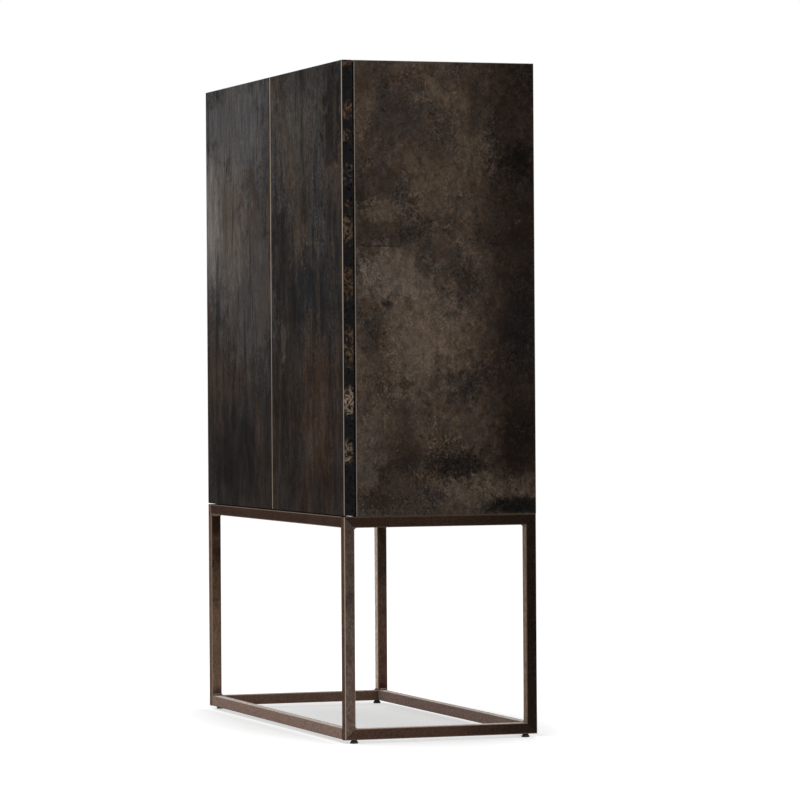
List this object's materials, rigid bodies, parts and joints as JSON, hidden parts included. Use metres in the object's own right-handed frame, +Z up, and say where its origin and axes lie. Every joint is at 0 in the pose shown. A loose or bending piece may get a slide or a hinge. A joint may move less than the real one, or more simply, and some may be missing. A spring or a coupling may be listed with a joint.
{
  "type": "bar cabinet",
  "caption": "Tall bar cabinet with plain full-cover doors in a dark patina, shelves and stemware rails inside, on an open stand of mitred square steel tube with levelling feet.",
  "frame": {"origin": "on the floor, under the middle of the cabinet", "axes": "+X to the right seen from the front, +Y to the back, +Z up; the doors face -Y"},
  "size_m": [1.067, 0.457, 1.52],
  "materials": {
    "bronzed_steel": "oxidised satin",
    "steel": "plain",
    "black_plastic": "matte",
    "patina_panel": "dark mottled patina",
    "dark_wood": "dark stain",
    "black_steel": "satin black"
  },
  "bodies": {
    "cabinet": {"back_panel": "dark_wood", "back_screws": "steel", "bottle_board_front": "dark_wood", "bottle_board_rear": "dark_wood", "bottom_panel": "patina_panel", "case_tab_screws": "steel", "case_tabs": "bronzed_steel", "divider": "dark_wood", "fixed_shelf": "dark_wood", "floor_rail_front": "bronzed_steel", "floor_rail_left": "bronzed_steel", "floor_rail_rear": "bronzed_steel", "floor_rail_right": "bronzed_steel", "foot_bushes": "steel", "hinge_case_leaf_left": "black_steel", "hinge_case_leaf_right": "black_steel", "hinge_case_screws": "black_steel", "hinge_pin_left": "black_steel", "hinge_pin_right": "black_steel", "latch_housing_left": "black_plastic", "latch_housing_right": "black_plastic", "latch_screws": "steel", "leg_front_left": "bronzed_steel", "leg_front_right": "bronzed_steel", "leg_rear_left": "bronzed_steel", "leg_rear_right": "bronzed_steel", "mitre_splines": "dark_wood", "shelf_left": "dark_wood", "shelf_pins": "steel", "shelf_right": "dark_wood", "side_panel_left": "patina_panel", "side_panel_right": "patina_panel", "stemware_rails": "bronzed_steel", "stemware_screws": "steel", "top_panel": "patina_panel", "top_rail_front": "bronzed_steel", "top_rail_left": "bronzed_steel", "top_rail_rear": "bronzed_steel", "top_rail_right": "bronzed_steel", "weld_fillets": "bronzed_steel"},
    "door_left": {"door_left": "patina_panel", "hinge_door_leaf_left": "black_steel", "hinge_door_screws_left": "black_steel", "latch_strike_left": "steel"},
    "plunger_left": {"latch_plunger_left": "black_plastic"},
    "door_right": {"door_right": "patina_panel", "hinge_door_leaf_right": "black_steel", "hinge_door_screws_right": "black_steel", "latch_strike_right": "steel"},
    "plunger_right": {"latch_plunger_right": "black_plastic"},
    "foot_front_left": {"foot_pad_front_left": "black_plastic", "foot_stud_front_left": "steel"},
    "foot_front_right": {"foot_pad_front_right": "black_plastic", "foot_stud_front_right": "steel"},
    "foot_rear_left": {"foot_pad_rear_left": "black_plastic", "foot_stud_rear_left": "steel"},
    "foot_rear_right": {"foot_pad_rear_right": "black_plastic", "foot_stud_rear_right": "steel"}
  },
  "joints": [
    {"name": "door_left_swing", "type": "hinge", "parent": "cabinet", "child": "door_left", "pos_m": [-0.5315, -0.201, 1.015], "axis": [0, 0, -1], "range_deg": [0, 110]},
    {"name": "latch_left_plunge", "type": "slide", "parent": "cabinet", "child": "plunger_left", "axis": [0, -1, 0], "range_m": [0, 0.012]},
    {"name": "door_right_swing", "type": "hinge", "parent": "cabinet", "child": "door_right", "pos_m": [0.5315, -0.201, 1.015], "axis": [0, 0, 1], "range_deg": [0, 110]},
    {"name": "latch_right_plunge", "type": "slide", "parent": "cabinet", "child": "plunger_right", "axis": [0, -1, 0], "range_m": [0, 0.012]},
    {"name": "foot_front_left_turn", "type": "hinge", "parent": "cabinet", "child": "foot_front_left", "pos_m": [-0.521, -0.204, 0.01], "axis": [0, 0, 1], "continuous": true},
    {"name": "foot_front_right_turn", "type": "hinge", "parent": "cabinet", "child": "foot_front_right", "pos_m": [0.521, -0.204, 0.01], "axis": [0, 0, 1], "continuous": true},
    {"name": "foot_rear_left_turn", "type": "hinge", "parent": "cabinet", "child": "foot_rear_left", "pos_m": [-0.521, 0.204, 0.01], "axis": [0, 0, 1], "continuous": true},
    {"name": "foot_rear_right_turn", "type": "hinge", "parent": "cabinet", "child": "foot_rear_right", "pos_m": [0.521, 0.204, 0.01], "axis": [0, 0, 1], "continuous": true}
  ],
  "couplings": [
    {"joint": "latch_left_plunge", "follows": "door_left_swing", "m_per_rad": 0.006249},
    {"joint": "latch_right_plunge", "follows": "door_right_swing", "m_per_rad": 0.006249}
  ]
}
